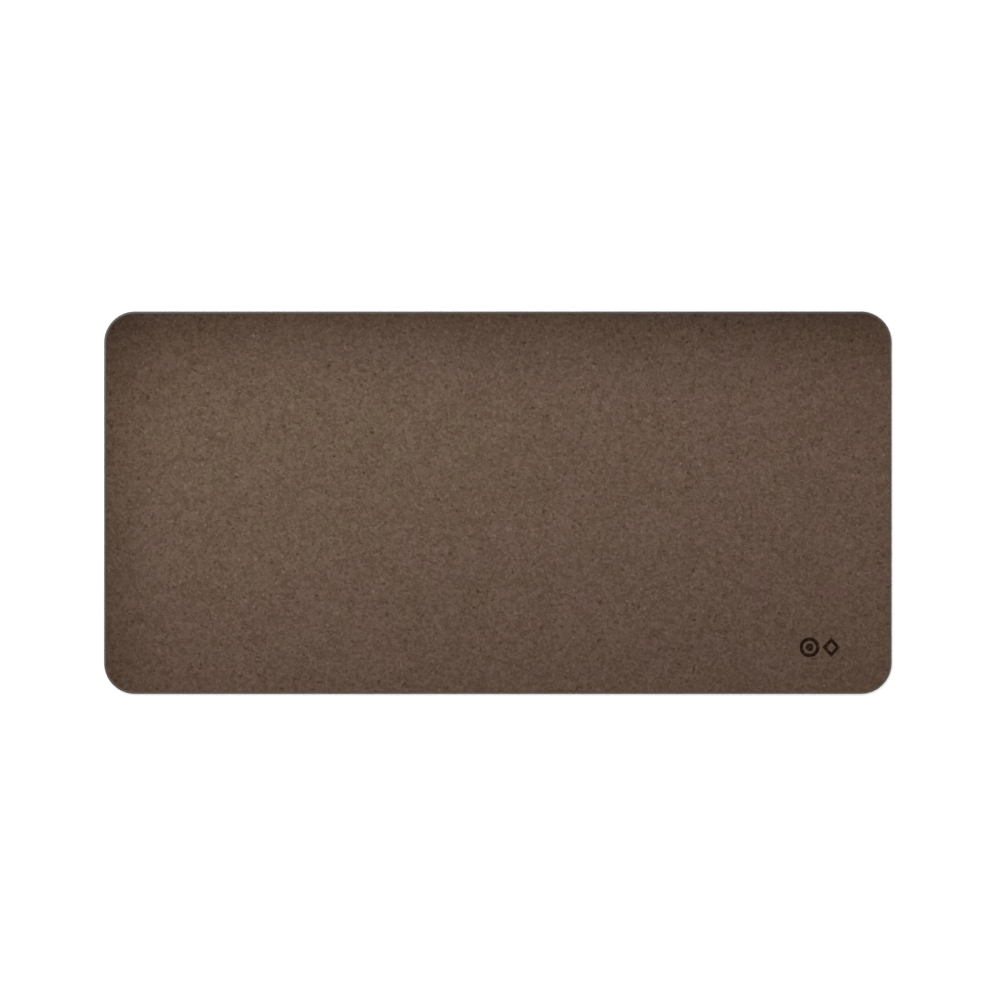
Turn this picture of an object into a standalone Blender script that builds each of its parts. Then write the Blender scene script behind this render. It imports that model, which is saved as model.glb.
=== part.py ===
"""Desk mat: a fine-grain cork sheet bonded to a woven cloth and a non-slip rubber base.

A coated bead closes the cut edge all round, and a small mark is pressed into the cork near the
front right corner. Metres, +Z up. The origin is the middle of the underside, +X runs along the
long side and +Y towards the back edge.
"""

import math

import bmesh
import bpy

# Outline
MAT_LENGTH = 0.700  # along X, over the edge seal
MAT_DEPTH = 0.340  # along Y, over the edge seal
CORNER_RADIUS = 0.0275  # of the outline's corners, over the edge seal
CORNER_STEPS = 16  # straight runs that make up each corner's quarter turn

# Layers, from the table up
RUBBER_THICKNESS = 0.00150
FILM_THICKNESS = 0.00010
CLOTH_THICKNESS = 0.00025
CORK_THICKNESS = 0.00085
LAYER_GAP = 0.00005  # left free between one layer and the next
CORK_EASE = 0.00025  # rounding of the cork's upper rim
RUBBER_EASE = 0.00030  # rounding of the rubber's lower rim
EASE_STEPS = 2

# Edge seal
SEAL_WIDTH = 0.0020
SEAL_CLEARANCE = 0.0001  # from the layers' cut edge
SEAL_LIFT = 0.00020  # the bead stays this far above the table
SEAL_DROP = 0.00015  # and this far below the top of the cork
SEAL_ROUND = 0.0010  # rounding of its outer side
SEAL_ROUND_STEPS = 5
MOST_ROUND_SHARE = 0.45  # the rounding takes at most this share of the bead's height

# Pressed mark: a ring with a dot in it, and an open lozenge to its right
MARK_FROM_RIGHT = 0.0460  # right tip of the lozenge to the mat's right side
MARK_FROM_FRONT = 0.0415  # centre line of the mark to the mat's front side
MARK_SPACING = 0.0027  # between the ring and the lozenge's left tip
RING_RADIUS = 0.0088
RING_STROKE = 0.0030
DOT_RADIUS = 0.0034
LOZENGE_HALF_WIDTH = 0.0078
LOZENGE_HALF_HEIGHT = 0.0086
LOZENGE_STROKE = 0.0027
CIRCLE_STEPS = 48  # straight runs that make up a circle
POCKET_DEPTH = 0.00020
FOIL_THICKNESS = 0.00008
FOIL_CLEARANCE = 0.00005  # round each foil, and under it
CUTTER_RISE = 0.0010  # the pockets' cutters stand this far out of the cork

# What follows from the sizes above
BASE_FILM_Z = RUBBER_THICKNESS + LAYER_GAP
CLOTH_Z = BASE_FILM_Z + FILM_THICKNESS + LAYER_GAP
FACE_FILM_Z = CLOTH_Z + CLOTH_THICKNESS + LAYER_GAP
CORK_Z = FACE_FILM_Z + FILM_THICKNESS + LAYER_GAP
TOP_Z = CORK_Z + CORK_THICKNESS
LAYER_INSET = SEAL_WIDTH + SEAL_CLEARANCE
LOZENGE_X = MAT_LENGTH / 2 - MARK_FROM_RIGHT - LOZENGE_HALF_WIDTH
RING_X = LOZENGE_X - LOZENGE_HALF_WIDTH - MARK_SPACING - RING_RADIUS
MARK_Y = MARK_FROM_FRONT - MAT_DEPTH / 2

MERGE_DISTANCE = 1e-7  # welds a curve's loose caps to its sides
FLAT_ANGLE = math.radians(0.1)  # faces within this of each other are one flat face
SHARP_ANGLE = math.radians(40)
STEEP = 0.9  # a face whose normal has more z than this is flat, and a side has less than the rest

# material: (linear colour, roughness)
FINISHES = {
    "cork": ((0.138, 0.091, 0.063), 0.80),
    "bond_film": ((0.55, 0.50, 0.42), 0.45),
    "cloth": ((0.20, 0.17, 0.14), 0.90),
    "rubber": ((0.022, 0.020, 0.019), 0.85),
    "seal": ((0.060, 0.052, 0.046), 0.50),
    "foil": ((0.014, 0.008, 0.006), 0.60),
}


def clear_scene():
    for old in list(bpy.data.objects):
        bpy.data.objects.remove(old)


def new_collection(name, hidden=False):
    collection = bpy.data.collections.new(name)
    collection.hide_render = hidden
    bpy.context.scene.collection.children.link(collection)
    return collection


def new_empty(name, collection):
    empty = bpy.data.objects.new(name, None)
    empty.empty_display_size = CORNER_RADIUS
    collection.objects.link(empty)
    return empty


def new_material(name):
    colour, roughness = FINISHES[name]
    material = bpy.data.materials.new(name)
    material.use_nodes = True
    shader = material.node_tree.nodes["Principled BSDF"]
    shader.inputs["Base Color"].default_value = (*colour, 1.0)
    shader.inputs["Roughness"].default_value = roughness
    shader.inputs["Metallic"].default_value = 0.0
    return material


def mat_outline(inset):
    """The mat's outline, this far inside its outer edge: straight sides joined by quarter turns."""
    radius = CORNER_RADIUS - inset
    x = MAT_LENGTH / 2 - CORNER_RADIUS
    y = MAT_DEPTH / 2 - CORNER_RADIUS
    points = []
    for quarter, (across, along) in enumerate(((x, y), (-x, y), (-x, -y), (x, -y))):
        for step in range(CORNER_STEPS + 1):
            turn = (quarter + step / CORNER_STEPS) * math.pi / 2
            points.append((across + radius * math.cos(turn), along + radius * math.sin(turn)))
    return points


def circle(radius):
    turns = [2 * math.pi * step / CIRCLE_STEPS for step in range(CIRCLE_STEPS)]
    return [(radius * math.cos(turn), radius * math.sin(turn)) for turn in turns]


def lozenge(grow):
    """A lozenge with each of its sides moved out by grow."""
    slant = math.hypot(LOZENGE_HALF_WIDTH, LOZENGE_HALF_HEIGHT)
    scale = 1 + grow * slant / (LOZENGE_HALF_WIDTH * LOZENGE_HALF_HEIGHT)
    width, height = LOZENGE_HALF_WIDTH * scale, LOZENGE_HALF_HEIGHT * scale
    return [(width, 0.0), (0.0, height), (-width, 0.0), (0.0, -height)]


def ring_shape(grow):
    return [circle(RING_RADIUS + grow), circle(RING_RADIUS - RING_STROKE - grow)]


def dot_shape(grow):
    return [circle(DOT_RADIUS + grow)]


def lozenge_shape(grow):
    return [lozenge(grow), lozenge(-LOZENGE_STROKE - grow)]


# piece of the mark: (its outlines, the x of its centre)
MARK_PIECES = {
    "mark_ring": (ring_shape, RING_X),
    "mark_dot": (dot_shape, RING_X),
    "mark_lozenge": (lozenge_shape, LOZENGE_X),
}


def as_mesh(drawn, name):
    """The drawn object's evaluated shape as a mesh of its own, with its loose caps welded."""
    evaluated = drawn.evaluated_get(bpy.context.evaluated_depsgraph_get())
    mesh = bpy.data.meshes.new_from_object(evaluated)
    mesh.name = name
    curve = drawn.data
    bpy.data.objects.remove(drawn)
    bpy.data.curves.remove(curve)
    shape = bmesh.new()
    shape.from_mesh(mesh)
    bmesh.ops.remove_doubles(shape, verts=shape.verts, dist=MERGE_DISTANCE)
    bmesh.ops.dissolve_limit(shape, angle_limit=FLAT_ANGLE, verts=shape.verts, edges=shape.edges)
    bmesh.ops.recalc_face_normals(shape, faces=shape.faces)
    shape.to_mesh(mesh)
    shape.free()
    return mesh


def draw_outlines(name, outlines, height, filled=True):
    """A 2D curve through the outlines, the inner ones being holes, extruded to this height."""
    curve = bpy.data.curves.new(name, "CURVE")
    curve.dimensions = "2D"
    curve.fill_mode = "BOTH" if filled else "NONE"
    curve.extrude = height / 2
    for outline in outlines:
        spline = curve.splines.new("POLY")
        spline.points.add(len(outline) - 1)
        for point, (x, y) in zip(spline.points, outline):
            point.co = (x, y, 0.0, 1.0)
        spline.use_cyclic_u = True
    drawn = bpy.data.objects.new(name, curve)
    bpy.context.scene.collection.objects.link(drawn)
    return drawn


def place(mesh, location, parent, collection, material=None):
    """An object for this mesh, which is centred on its own middle."""
    piece = bpy.data.objects.new(mesh.name, mesh)
    piece.location = location
    piece.parent = parent
    if material:
        mesh.materials.append(material)
    collection.objects.link(piece)
    return piece


def is_outer_rim(edge, top, bottom):
    """Whether an edge joins the wanted flat face to a side that faces away from the middle."""
    caps = [face for face in edge.link_faces if abs(face.normal.z) > STEEP]
    sides = [face for face in edge.link_faces if abs(face.normal.z) < 1 - STEEP]
    if not caps or not sides:
        return False
    wanted = top if caps[0].normal.z > 0 else bottom
    return wanted and sides[0].normal.dot(edge.verts[0].co) > 0


def round_rim(piece, width, steps, top=False, bottom=False):
    """Rounds the outer edge of a flat piece's top, of its underside, or of both."""
    shape = bmesh.new()
    shape.from_mesh(piece.data)
    weight = shape.edges.layers.float.new("bevel_weight_edge")
    for edge in shape.edges:
        edge[weight] = float(is_outer_rim(edge, top, bottom))
    shape.to_mesh(piece.data)
    shape.free()
    bevel = piece.modifiers.new("rounded rim", "BEVEL")
    bevel.limit_method = "WEIGHT"
    bevel.width = width
    bevel.segments = steps
    piece.data.shade_smooth()
    piece.data.set_sharp_from_angle(angle=SHARP_ANGLE)


def build_layer(name, low, thickness, material, parent, collection):
    """One sheet of the laminate, with its underside at z = low."""
    outline = draw_outlines(name + "_outline", [mat_outline(LAYER_INSET)], thickness)
    centre = (0.0, 0.0, low + thickness / 2)
    return place(as_mesh(outline, name), centre, parent, collection, material)


def build_edge_seal(material, parent, collection):
    """The bead round the cut edge: a wall given its width by Solidify and rounded on its outer side."""
    low, high = SEAL_LIFT, TOP_Z - SEAL_DROP
    wall = draw_outlines("edge_seal_line", [mat_outline(0.0)], high - low, filled=False)
    width = wall.modifiers.new("width", "SOLIDIFY")
    width.thickness = SEAL_WIDTH
    width.offset = -1.0
    width.use_even_offset = True
    seal = place(as_mesh(wall, "edge_seal"), (0.0, 0.0, (low + high) / 2), parent, collection, material)
    rounding = min(SEAL_ROUND, MOST_ROUND_SHARE * (high - low))
    round_rim(seal, rounding, SEAL_ROUND_STEPS, top=True, bottom=True)
    return seal


def build_foil(name, material, parent, collection):
    """One figure of the mark, as a foil that lies in its pocket."""
    outlines, x = MARK_PIECES[name]
    drawn = draw_outlines(name + "_outline", outlines(0.0), FOIL_THICKNESS)
    location = (x, MARK_Y, TOP_Z - POCKET_DEPTH + FOIL_CLEARANCE + FOIL_THICKNESS / 2)
    return place(as_mesh(drawn, name), location, parent, collection, material)


def press_pocket(name, cork, parent, cutters):
    """Cuts the pocket for one figure of the mark into the top of the cork."""
    outlines, x = MARK_PIECES[name]
    height = POCKET_DEPTH + CUTTER_RISE
    drawn = draw_outlines(name + "_cutter_outline", outlines(FOIL_CLEARANCE), height)
    location = (x, MARK_Y, TOP_Z - POCKET_DEPTH + height / 2)
    cutter = place(as_mesh(drawn, name + "_cutter"), location, parent, cutters)
    cutter.hide_render = True
    cutter.display_type = "WIRE"
    pocket = cork.modifiers.new(name + " pocket", "BOOLEAN")
    pocket.operation = "DIFFERENCE"
    pocket.solver = "EXACT"
    pocket.object = cutter


def main():
    clear_scene()
    parts = new_collection("desk_mat")
    cutters = new_collection("desk_mat_cutters", hidden=True)
    centre = new_empty("desk_mat_centre", parts)
    materials = {name: new_material(name) for name in FINISHES}

    rubber = build_layer("rubber_base", 0.0, RUBBER_THICKNESS, materials["rubber"], centre, parts)
    round_rim(rubber, RUBBER_EASE, EASE_STEPS, bottom=True)
    build_layer("base_bond_film", BASE_FILM_Z, FILM_THICKNESS, materials["bond_film"], centre, parts)
    build_layer("backing_cloth", CLOTH_Z, CLOTH_THICKNESS, materials["cloth"], centre, parts)
    build_layer("face_bond_film", FACE_FILM_Z, FILM_THICKNESS, materials["bond_film"], centre, parts)
    cork = build_layer("cork_face", CORK_Z, CORK_THICKNESS, materials["cork"], centre, parts)
    round_rim(cork, CORK_EASE, EASE_STEPS, top=True)
    build_edge_seal(materials["seal"], centre, parts)
    for name in MARK_PIECES:
        press_pocket(name, cork, centre, cutters)
        build_foil(name, materials["foil"], centre, parts)


main()
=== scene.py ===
"""Looks of a cork-faced desk mat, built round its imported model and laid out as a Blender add-on.

The mat is a laminate: a cork sheet with a pressed mark, a woven backing cloth between two bond films,
and a rubber base with a moulded grip pattern, all closed by a coated bead round the cut edge.
"""

import math

import bmesh
import bpy
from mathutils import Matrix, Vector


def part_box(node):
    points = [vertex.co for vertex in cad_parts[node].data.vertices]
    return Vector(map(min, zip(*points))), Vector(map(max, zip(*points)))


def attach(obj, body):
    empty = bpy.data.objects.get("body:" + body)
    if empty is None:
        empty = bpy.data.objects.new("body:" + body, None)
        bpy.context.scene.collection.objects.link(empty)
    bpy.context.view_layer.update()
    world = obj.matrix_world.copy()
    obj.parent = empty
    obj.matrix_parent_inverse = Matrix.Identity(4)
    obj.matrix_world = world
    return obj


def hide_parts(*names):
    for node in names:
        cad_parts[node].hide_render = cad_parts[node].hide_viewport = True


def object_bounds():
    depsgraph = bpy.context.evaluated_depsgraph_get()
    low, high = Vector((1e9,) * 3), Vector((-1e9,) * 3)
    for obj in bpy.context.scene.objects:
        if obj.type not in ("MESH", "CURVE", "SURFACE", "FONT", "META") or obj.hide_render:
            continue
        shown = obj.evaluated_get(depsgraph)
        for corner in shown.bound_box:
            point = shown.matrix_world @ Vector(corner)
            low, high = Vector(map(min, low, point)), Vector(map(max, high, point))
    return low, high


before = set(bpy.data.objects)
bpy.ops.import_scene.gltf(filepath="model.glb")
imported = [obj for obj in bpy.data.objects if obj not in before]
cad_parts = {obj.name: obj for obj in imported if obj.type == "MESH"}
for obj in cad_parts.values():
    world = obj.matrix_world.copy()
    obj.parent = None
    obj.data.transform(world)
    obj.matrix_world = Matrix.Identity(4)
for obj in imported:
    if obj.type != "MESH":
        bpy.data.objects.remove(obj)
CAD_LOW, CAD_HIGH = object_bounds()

bl_info = {
    "name": "Cork desk mat",
    "version": (1, 0, 0),
    "blender": (4, 5, 0),
    "location": "View3D > Sidebar > Desk mat",
    "description": "Builds a cork-faced desk mat piece by piece, with its materials and its studio",
    "category": "Add Mesh",
}

BODY = "root"
TINY = 1e-6  # two heights or distances this close are the same

CORNER_STEPS = 24  # straight runs that make up each corner's quarter turn
CIRCLE_STEPS = 96  # and those of a whole circle in the mark
RIM_STEPS = 3  # of a small rounding
OUTER_STEPS = 7  # of the bead's outer rounding
TIP_STEPS = 4  # of the lozenge's tips
FOIL_RIM_STEPS = 2
SMOOTH_ANGLE = math.radians(35)
PAD_SMOOTH_ANGLE = math.radians(20)  # keeps the grip pads' sides crisp
LEVEL, UPRIGHT = 0.99, 0.1  # a level face's normal has more z than this, and an upright one's less
SNUG = 0.00002  # left between the bead's inner wall and the layers
BEAD_MARGIN = 0.0002  # a point this far outside the layers is on the bead's outer side
FOIL_EASE_SHARE = 1 / 3  # a foil's rim is rounded by this share of its thickness
PAD_SLANT = math.radians(45)

# sizes of the clouds that each unevenness follows
RELIEF_WAVE = 0.007
BEAD_WAVE = 0.009
CLOTH_WAVE = 0.03
CLOTH_UNEVENNESS = 0.00003
CLOTH_GRID = 0.012  # spacing of the mesh that carries it

FLOOR_SIZE = 8.0
FLOOR_CORNER = 2.0
FLOOR_CORNER_STEPS = 12
SOFTBOX_SIZE = (0.80, 0.40)


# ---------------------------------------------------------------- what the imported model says


def node_points(node):
    return [vertex.co.copy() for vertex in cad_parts[node].data.vertices]


def corner_radius(node):
    """The radius of a node's rounded corners: its half depth less the half length of its right side."""
    _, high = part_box(node)
    side = [abs(point.y) for point in node_points(node) if point.x > high.x - TINY]
    return high.y - max(side)


def centre_of(node):
    low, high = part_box(node)
    return (low + high) / 2


def reach_along_x(node):
    """The least and the greatest distance from a figure's centre to its outlines, along X."""
    centre = centre_of(node)
    level = [point for point in node_points(node) if abs(point.y - centre.y) < 10 * TINY]
    reaches = [abs(point.x - centre.x) for point in level]
    return min(reaches), max(reaches)


BEAD_LOW, BEAD_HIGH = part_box("edge_seal")
CORK_LOW, CORK_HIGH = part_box("cork_face")
CLOTH_LOW, CLOTH_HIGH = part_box("backing_cloth")
RUBBER_LOW, RUBBER_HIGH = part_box("rubber_base")
HALF_LENGTH, HALF_DEPTH = CAD_HIGH.x, CAD_HIGH.y
OUTER_RADIUS = corner_radius("edge_seal")
LAYER_RADIUS = corner_radius("backing_cloth")


# ---------------------------------------------------------------- settings


class CorkSettings(bpy.types.PropertyGroup):
    # the toned edges are painted shade
    colour: bpy.props.FloatVectorProperty(
        name="Cork colour", description="Mean colour of the dyed cork, away from the toned edges",
        subtype="COLOR", size=3, min=0.0, max=1.0, default=(0.1028, 0.0675, 0.0467))
    granule: bpy.props.FloatProperty(
        name="Granule size", description="Width of the larger cork granules",
        subtype="DISTANCE", unit="LENGTH", min=0.0005, max=0.01, default=0.0025)
    contrast: bpy.props.FloatProperty(
        name="Granule contrast", description="How far the granules differ in tone",
        subtype="FACTOR", min=0.0, max=1.0, default=0.41)
    ease: bpy.props.FloatProperty(
        name="Rim rounding", description="Rounding of the cork's upper rim",
        subtype="DISTANCE", unit="LENGTH", min=0.0, max=0.0005, default=0.00025)
    relief: bpy.props.FloatProperty(
        name="Surface relief", description="Height of the cork's slow unevenness",
        subtype="DISTANCE", unit="LENGTH", min=0.0, max=0.001, default=0.00006)
    relief_pitch: bpy.props.FloatProperty(
        name="Relief grid", description="Spacing of the mesh that carries the unevenness",
        subtype="DISTANCE", unit="LENGTH", min=0.002, max=0.05, default=0.0028)


class MarkSettings(bpy.types.PropertyGroup):
    colour: bpy.props.FloatVectorProperty(
        name="Foil colour", description="Colour of the pigment foil",
        subtype="COLOR", size=3, min=0.0, max=1.0, default=(0.0100, 0.0036, 0.0015))
    clearance: bpy.props.FloatProperty(
        name="Clearance", description="Gap left round each foil in its pocket",
        subtype="DISTANCE", unit="LENGTH", min=0.0, max=0.0005, default=0.00005)
    shoulder: bpy.props.FloatProperty(
        name="Shoulder", description="Rounding of the cork where the hot die pressed it down",
        subtype="DISTANCE", unit="LENGTH", min=0.0, max=0.0005, default=0.00012)
    tip_round: bpy.props.FloatProperty(
        name="Tip rounding", description="Rounding of the lozenge's tips, seen from above",
        subtype="DISTANCE", unit="LENGTH", min=0.0, max=0.002, default=0.0006)


class BeadSettings(bpy.types.PropertyGroup):
    colour: bpy.props.FloatVectorProperty(
        name="Bead colour", description="Colour of the flexible edge coat",
        subtype="COLOR", size=3, min=0.0, max=1.0, default=(0.0510, 0.0368, 0.0277))
    rounding: bpy.props.FloatProperty(
        name="Outer rounding", description="Rounding of the bead's outer side",
        subtype="DISTANCE", unit="LENGTH", min=0.0001, max=0.0013, default=0.00115)
    lip: bpy.props.FloatProperty(
        name="Lip rounding", description="Rounding of the bead's upper edge against the cork",
        subtype="DISTANCE", unit="LENGTH", min=0.0, max=0.0005, default=0.00015)
    ripple: bpy.props.FloatProperty(
        name="Ripple", description="How uneven the coat lies along the edge",
        subtype="DISTANCE", unit="LENGTH", min=0.0, max=0.0005, default=0.00010)
    ring_pitch: bpy.props.FloatProperty(
        name="Ring spacing", description="Spacing of the mesh rings along the bead's straight sides",
        subtype="DISTANCE", unit="LENGTH", min=0.001, max=0.05, default=0.004)


class ClothSettings(bpy.types.PropertyGroup):
    colour: bpy.props.FloatVectorProperty(
        name="Cloth colour", description="Colour of the backing cloth's yarn",
        subtype="COLOR", size=3, min=0.0, max=1.0, default=(0.20, 0.17, 0.14))
    yarn_pitch: bpy.props.FloatProperty(
        name="Yarn pitch", description="Distance from one yarn to the next",
        subtype="DISTANCE", unit="LENGTH", min=0.0002, max=0.005, default=0.0006)
    film_colour: bpy.props.FloatVectorProperty(
        name="Film colour", description="Colour of the hot-melt bond films",
        subtype="COLOR", size=3, min=0.0, max=1.0, default=(0.55, 0.50, 0.42))


class GripSettings(bpy.types.PropertyGroup):
    colour: bpy.props.FloatVectorProperty(
        name="Rubber colour", description="Colour of the rubber base",
        subtype="COLOR", size=3, min=0.0, max=1.0, default=(0.020, 0.018, 0.017))
    pitch: bpy.props.FloatProperty(
        name="Pad pitch", description="Distance from one grip pad to the next",
        subtype="DISTANCE", unit="LENGTH", min=0.003, max=0.03, default=0.0062)
    groove: bpy.props.FloatProperty(
        name="Groove width", description="Width of the groove floor between two pads",
        subtype="DISTANCE", unit="LENGTH", min=0.0002, max=0.002, default=0.0011)
    pad_slope: bpy.props.FloatProperty(
        name="Pad slope", description="Width of each pad's sloping side, seen from below",
        subtype="DISTANCE", unit="LENGTH", min=0.0001, max=0.001, default=0.00032)
    pad_height: bpy.props.FloatProperty(
        name="Pad height", description="How far the pads stand out of the groove floor",
        subtype="DISTANCE", unit="LENGTH", min=0.0001, max=0.001, default=0.00030)


class StudioSettings(bpy.types.PropertyGroup):
    view_width: bpy.props.FloatProperty(
        name="View width", description="Width that the camera takes in at the height of the cork",
        subtype="DISTANCE", unit="LENGTH", min=0.1, max=5.0, default=0.8884)
    camera_offset: bpy.props.FloatVectorProperty(
        name="Camera offset", description="Where the camera stands over the mat, from its middle",
        subtype="TRANSLATION", unit="LENGTH", size=2, default=(0.00187, 0.00240))
    lens: bpy.props.FloatProperty(
        name="Lens", description="Focal length in millimetres", min=20.0, max=300.0, default=100.0)
    sky: bpy.props.FloatProperty(
        name="Sky", description="Strength of the even white surround", min=0.0, max=5.0, default=1.12)
    softbox_power: bpy.props.FloatProperty(
        name="Softbox", description="Power of the large softbox over the mat",
        subtype="POWER", unit="POWER", min=0.0, max=100.0, default=3.2)
    softbox_place: bpy.props.FloatVectorProperty(
        name="Softbox place", description="Middle of the softbox",
        subtype="TRANSLATION", unit="LENGTH", size=3, default=(-0.30, 0.42, 0.70))
    floor_colour: bpy.props.FloatVectorProperty(
        name="Floor colour", description="Colour of the pale floor",
        subtype="COLOR", size=3, min=0.0, max=1.0, default=(0.96, 0.96, 0.96))


SETTINGS = {
    "mat_cork": CorkSettings,
    "mat_mark": MarkSettings,
    "mat_bead": BeadSettings,
    "mat_cloth": ClothSettings,
    "mat_grip": GripSettings,
    "mat_studio": StudioSettings,
}


# ---------------------------------------------------------------- modelling by hand, in code


def add(operator, name, **options):
    """Adds a primitive with nothing else selected, and returns its object in edit mode, all selected."""
    if bpy.context.mode != "OBJECT":
        bpy.ops.object.mode_set(mode="OBJECT")
    bpy.ops.object.select_all(action="DESELECT")
    operator(**options)
    piece = bpy.context.object
    piece.name = piece.data.name = name
    bpy.ops.object.transform_apply(location=True, rotation=True, scale=True)
    bpy.ops.object.mode_set(mode="EDIT")
    bpy.ops.mesh.select_all(action="SELECT")
    return piece


def pick(kind, wanted):
    """In edit mode, selects just the edges or faces that wanted() says yes to; returns how many."""
    bpy.ops.mesh.select_mode(type=kind)
    bpy.ops.mesh.select_all(action="DESELECT")
    mesh = bpy.context.object.data
    shape = bmesh.from_edit_mesh(mesh)
    shape.normal_update()
    found = [part for part in (shape.edges if kind == "EDGE" else shape.faces) if wanted(part)]
    for part in found:
        part.select_set(True)
    shape.select_flush_mode()
    bmesh.update_edit_mesh(mesh)
    return len(found)


def raise_by(height):
    """Extrudes what is selected straight up."""
    bpy.ops.mesh.extrude_region_move(TRANSFORM_OT_translate={"value": (0.0, 0.0, height)})


def face_outwards():
    bpy.ops.mesh.select_all(action="SELECT")
    bpy.ops.mesh.normals_make_consistent(inside=False)


def leave_edit():
    bpy.ops.object.mode_set(mode="OBJECT")


def only(piece):
    """Makes this piece the only selected and the active one, in object mode."""
    if bpy.context.mode != "OBJECT":
        bpy.ops.object.mode_set(mode="OBJECT")
    bpy.ops.object.select_all(action="DESELECT")
    piece.select_set(True)
    bpy.context.view_layer.objects.active = piece


def apply_modifier(piece, kind, name, **values):
    only(piece)
    modifier = piece.modifiers.new(name, kind)
    for key, value in values.items():
        setattr(modifier, key, value)
    bpy.ops.object.modifier_apply(modifier=modifier.name)


def combine(piece, other, operation):
    """Boolean of the piece with another solid, which is used up."""
    apply_modifier(piece, "BOOLEAN", operation.lower(), object=other, operation=operation, solver="EXACT")
    bpy.data.objects.remove(other)


def finish_piece(piece, node, material, smooth=SMOOTH_ANGLE):
    only(piece)
    bpy.ops.object.shade_smooth_by_angle(angle=smooth)
    piece.data.materials.clear()
    piece.data.materials.append(material)
    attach(piece, BODY)
    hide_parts(node)


def rounded_plate(name, half_length, half_depth, radius, low, high):
    """A flat plate with rounded corners, left in edit mode."""
    piece = add(bpy.ops.mesh.primitive_plane_add, name, size=2.0, location=(0.0, 0.0, low))
    bpy.ops.transform.resize(value=(half_length, half_depth, 1.0))
    bpy.ops.mesh.bevel(offset=radius, segments=CORNER_STEPS, affect="VERTICES")
    bpy.ops.mesh.select_all(action="SELECT")
    raise_by(high - low)
    face_outwards()
    return piece


def ring_cut(thickness):
    """Insets the selected flat face and removes its middle, which leaves a flat ring."""
    bpy.ops.mesh.inset(thickness=thickness)
    bpy.ops.mesh.delete(type="FACE")
    bpy.ops.mesh.select_all(action="SELECT")


def grid_lines(low, high, pitch):
    """Evenly spaced values strictly between low and high, about pitch apart."""
    count = max(1, round((high - low) / pitch))
    return [low + (high - low) * step / count for step in range(1, count)]


def slice_across(axis, values):
    """Cuts the mesh in edit mode at each value along an axis, so that it can carry a relief."""
    for value in values:
        bpy.ops.mesh.select_all(action="SELECT")
        place = [value if index == axis else 0.0 for index in range(3)]
        normal = [float(index == axis) for index in range(3)]
        bpy.ops.mesh.bisect(plane_co=place, plane_no=normal)


def ripple(piece, name, height, wave, direction, chosen, depth=2):
    """Pushes the chosen vertices along a direction by a cloud pattern."""
    group = piece.vertex_groups.new(name=name)
    picked = [vertex.index for vertex in piece.data.vertices if chosen(vertex.co)]
    group.add(picked, 1.0, "REPLACE")
    clouds = bpy.data.textures.new(name, "CLOUDS")
    clouds.noise_scale = wave
    clouds.noise_depth = depth
    apply_modifier(
        piece, "DISPLACE", name, texture=clouds, strength=height, mid_level=0.5, direction=direction,
        texture_coords="LOCAL", vertex_group=group.name)
    piece.vertex_groups.clear()


# ---------------------------------------------------------------- node trees


class Tree:
    """Writes one node tree: each call adds a node, feeds its inputs and gives back what was asked for."""

    def __init__(self, tree):
        self.tree = tree
        self.count = 0

    def node(self, kind, inputs=None, **values):
        made = self.tree.nodes.new(kind)
        made.location = (200 * (self.count % 10), -260 * (self.count // 10))
        self.count += 1
        for key, value in values.items():
            setattr(made, key, value)
        for socket, value in (inputs or {}).items():
            self.feed(made.inputs[socket], value)
        return made

    def feed(self, socket, value):
        if isinstance(value, bpy.types.NodeSocket):
            self.tree.links.new(value, socket)
        else:
            socket.default_value = value

    def math(self, operation, *values, clamp=False):
        made = self.node("ShaderNodeMath", dict(enumerate(values)), operation=operation, use_clamp=clamp)
        return made.outputs[0]

    def vector(self, operation, first, second):
        made = self.node("ShaderNodeVectorMath", {0: first, 1: second}, operation=operation)
        return made.outputs[0]

    def scaled(self, vector, factor):
        made = self.node("ShaderNodeVectorMath", {"Vector": vector, "Scale": factor}, operation="SCALE")
        return made.outputs[0]

    def spread(self, value, low, high, new_low=0.0, new_high=1.0, smooth=False):
        """Maps low..high to new_low..new_high, and keeps to that range."""
        kind = "SMOOTHSTEP" if smooth else "LINEAR"
        made = self.node(
            "ShaderNodeMapRange", {0: value, 1: low, 2: high, 3: new_low, 4: new_high},
            interpolation_type=kind)
        return made.outputs[0]

    def mix(self, factor, first, second):
        """A colour between first and second."""
        made = self.node(
            "ShaderNodeMix", {0: factor, 6: first, 7: second}, data_type="RGBA", blend_type="MIX")
        return made.outputs[2]

    def tint(self, colour, factor):
        """A colour times a value or another colour."""
        made = self.node(
            "ShaderNodeMix", {0: 1.0, 6: colour, 7: factor}, data_type="RGBA", blend_type="MULTIPLY")
        return made.outputs[2]

    def noise(self, vector, scale, detail=2.0, output="Fac"):
        made = self.node(
            "ShaderNodeTexNoise", {"Vector": vector, "Scale": scale, "Detail": detail}, noise_dimensions="3D")
        return made.outputs[output]

    def voronoi(self, vector, feature, output):
        made = self.node(
            "ShaderNodeTexVoronoi", {"Vector": vector, "Scale": 1.0}, voronoi_dimensions="3D",
            feature=feature)
        return made.outputs[output]

    def part(self, source, index):
        """One channel of a colour or one coordinate of a vector."""
        kind = "ShaderNodeSeparateColor" if source.type == "RGBA" else "ShaderNodeSeparateXYZ"
        return self.node(kind, {0: source}).outputs[index]

    def place(self, group, **inputs):
        """Puts a shared effect into this tree, with its own values, and returns its outputs."""
        inputs = {name.replace("_", " "): value for name, value in inputs.items()}
        made = self.node("ShaderNodeGroup")
        made.node_tree = group
        for name, value in inputs.items():
            self.feed(made.inputs[name], value)
        return made.outputs

    def bump(self, height, distance, strength=1.0):
        made = self.node("ShaderNodeBump", {"Height": height, "Distance": distance, "Strength": strength})
        return made.outputs["Normal"]


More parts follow.
